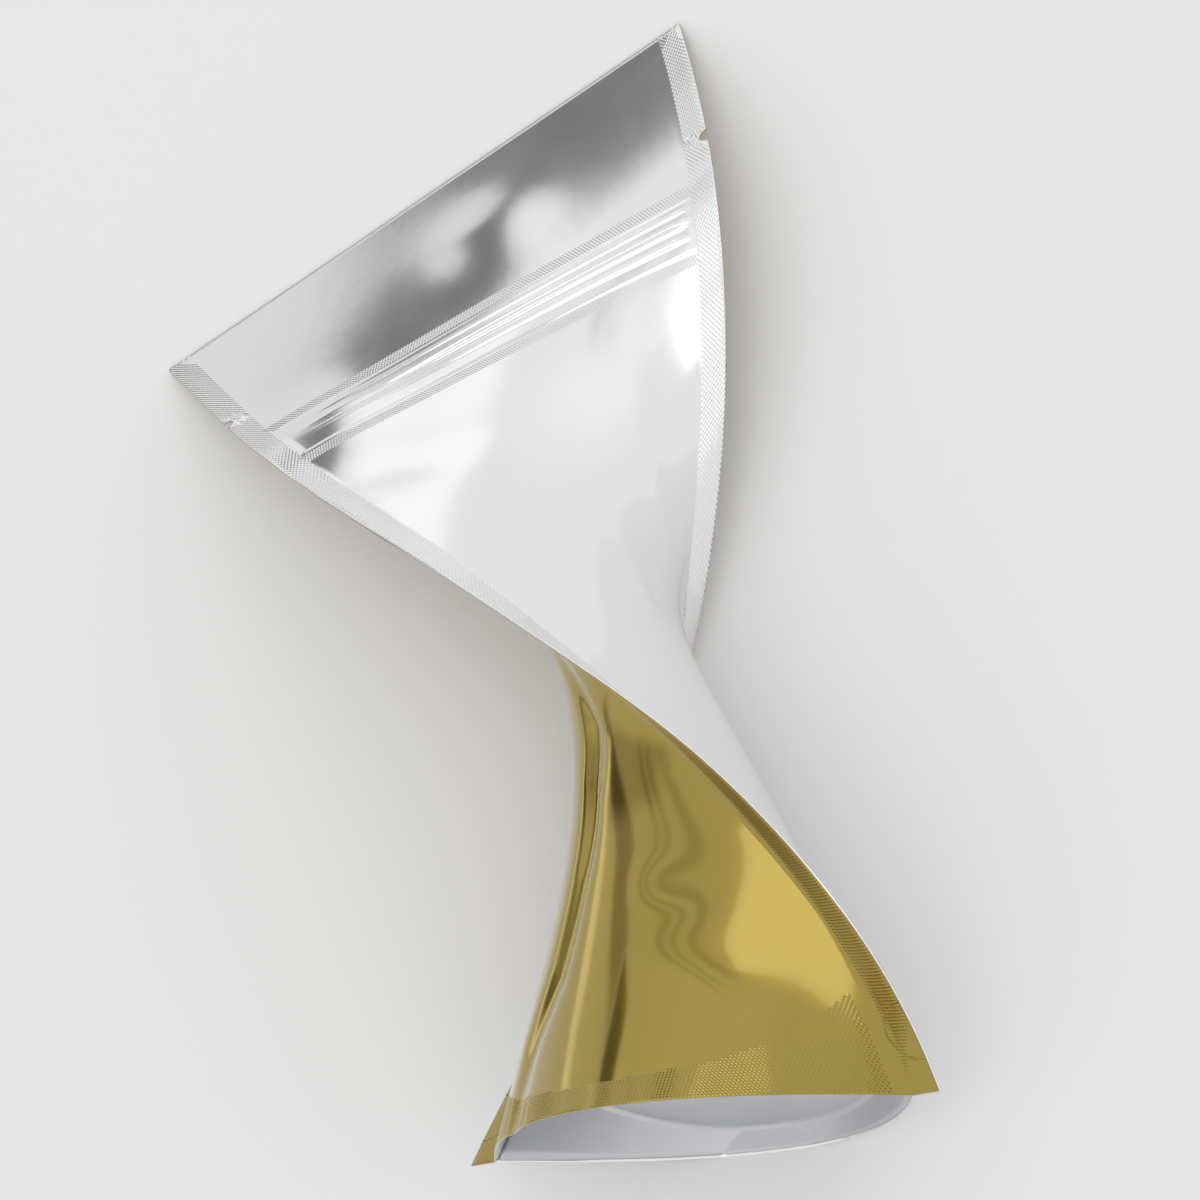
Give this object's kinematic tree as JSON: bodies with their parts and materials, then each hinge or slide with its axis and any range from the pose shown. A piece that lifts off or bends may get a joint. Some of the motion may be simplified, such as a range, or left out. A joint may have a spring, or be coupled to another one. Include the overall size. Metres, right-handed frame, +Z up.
{
  "type": "foil stand-up pouch",
  "caption": "Empty foil food pouch with a press-to-close strip, tear notches and a bottom gusset, twisted half a turn and lying down, silver web in front and gold web behind.",
  "frame": {"origin": "on the table under the middle of the lying pouch's box", "axes": "+Z up, +Y along the pouch towards its top edge, +X to the right seen from above with the top edge away"},
  "size_m": [0.1198, 0.1881, 0.0624],
  "materials": {
    "silver_film": "glossy metallised film, bright silver, with fine heat-seal ribs along its edges",
    "gold_film": "mirror-glossy metallised film with a clear gold lacquer",
    "gusset_film": "soft-gloss silver film with creases"
  },
  "bodies": {
    "root": {"pouch": "silver_film"}
  },
  "joints": []
}
